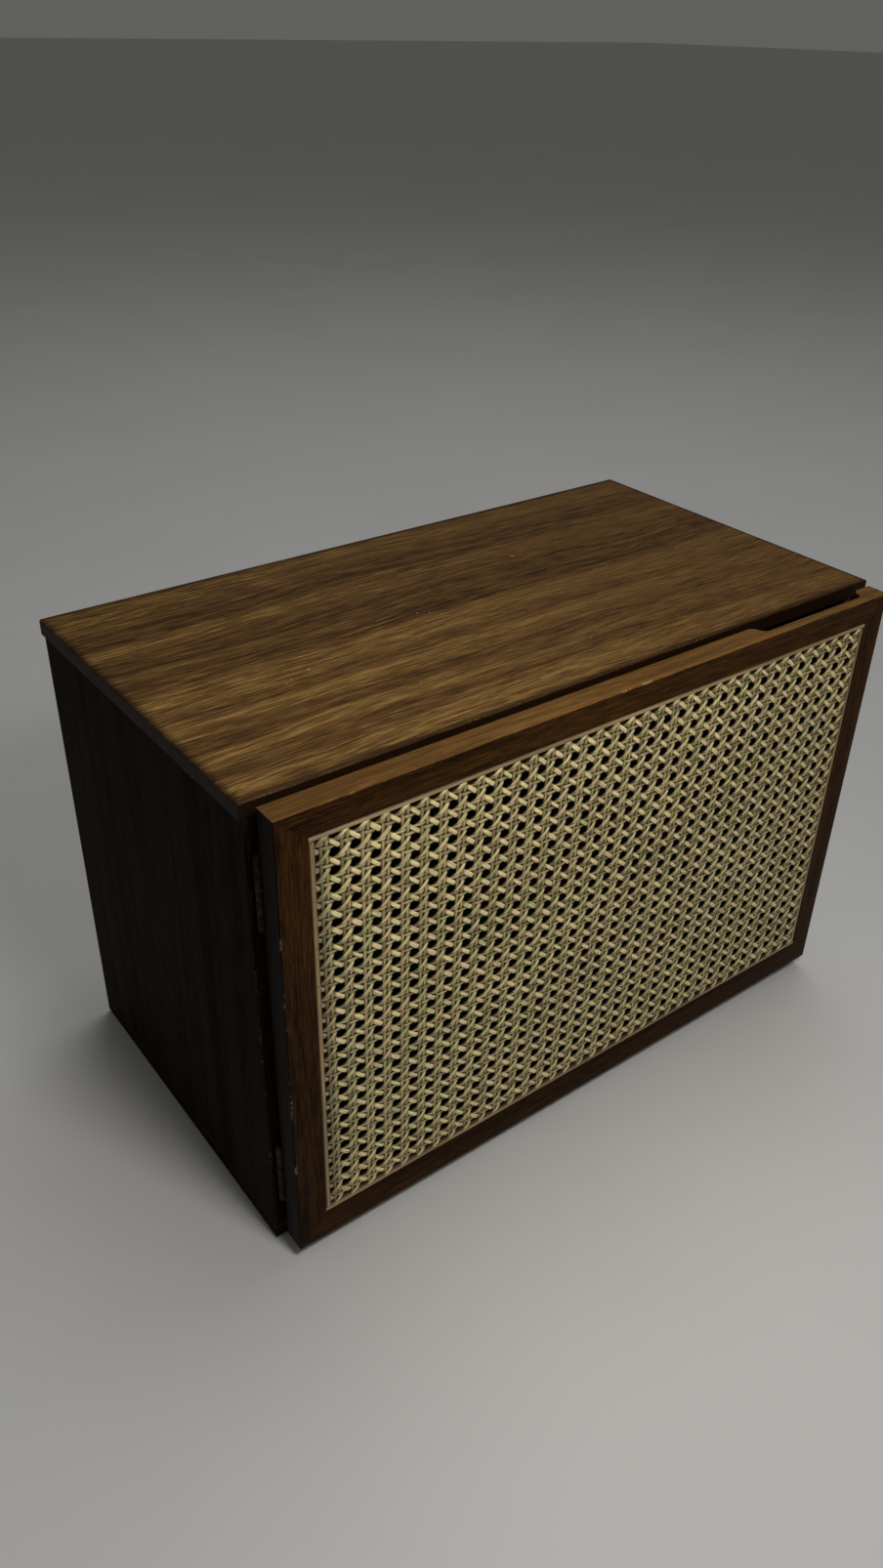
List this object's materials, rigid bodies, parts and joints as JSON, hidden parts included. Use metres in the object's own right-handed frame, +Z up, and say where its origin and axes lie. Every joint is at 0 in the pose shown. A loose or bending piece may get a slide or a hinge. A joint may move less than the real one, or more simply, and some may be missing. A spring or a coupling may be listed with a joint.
{
  "type": "media cabinet",
  "caption": "Low walnut media cabinet with one side-hung door: mitred frame, open cane webbing held by reed beads, black cloth behind, finger notch in the top rail.",
  "frame": {"origin": "middle of the footprint, on the floor", "axes": "+X along the cabinet's width to the viewer's right when facing the door, +Y from the door to the back, +Z up; the door faces -Y"},
  "size_m": [0.635, 0.3601, 0.428],
  "materials": {
    "top_veneer": "satin lacquered walnut veneer, light streaks",
    "side_veneer": "dark satin walnut veneer",
    "back_board": "plain unfinished plywood",
    "divider_wood": "stained plywood",
    "dowel_wood": "bare beech",
    "door_wood": "satin lacquered solid walnut",
    "stop_wood": "stained softwood",
    "bead_reed": "tan rattan reed, semi-gloss",
    "cane": "straw-coloured woven rattan cane",
    "black_cloth": "black open acoustic cloth",
    "hinge_bronze": "dark aged bronze",
    "screw_steel": "zinc-plated, dull",
    "catch_steel": "nickel-plated",
    "catch_plastic": "moulded brown",
    "bumper_rubber": "matt black rubber",
    "glide_plastic": "dark moulded nylon"
  },
  "bodies": {
    "case": {"top_panel": "top_veneer", "bottom_panel": "side_veneer", "left_side_panel": "side_veneer", "right_side_panel": "side_veneer", "back_panel": "back_board", "centre_divider": "divider_wood", "top_dowels": "dowel_wood", "bottom_dowels": "dowel_wood", "back_panel_screws": "screw_steel", "floor_glides": "glide_plastic", "catch_housing": "catch_plastic", "catch_magnet": "catch_steel", "catch_screws": "screw_steel", "door_bumpers": "bumper_rubber", "upper_hinge_case_leaf": "hinge_bronze", "lower_hinge_case_leaf": "hinge_bronze", "upper_hinge_pin": "hinge_bronze", "lower_hinge_pin": "hinge_bronze", "hinge_case_screws": "hinge_bronze"},
    "door": {"door_top_rail": "door_wood", "door_bottom_rail": "door_wood", "door_left_stile": "door_wood", "door_right_stile": "door_wood", "corner_dowels": "dowel_wood", "cane_webbing": "cane", "cane_bead_top": "bead_reed", "cane_bead_bottom": "bead_reed", "cane_bead_left": "bead_reed", "cane_bead_right": "bead_reed", "grille_cloth": "black_cloth", "cloth_stop_top": "stop_wood", "cloth_stop_bottom": "stop_wood", "cloth_stop_left": "stop_wood", "cloth_stop_right": "stop_wood", "cloth_stop_brads": "screw_steel", "upper_hinge_door_leaf": "hinge_bronze", "lower_hinge_door_leaf": "hinge_bronze", "hinge_door_screws": "hinge_bronze", "strike_plate": "catch_steel", "strike_screws": "screw_steel"}
  },
  "joints": [
    {"name": "door_hinge", "type": "hinge", "parent": "case", "child": "door", "pos_m": [-0.309, -0.15605, 0.22], "axis": [0, 0, -1], "range_deg": [0, 115]}
  ]
}
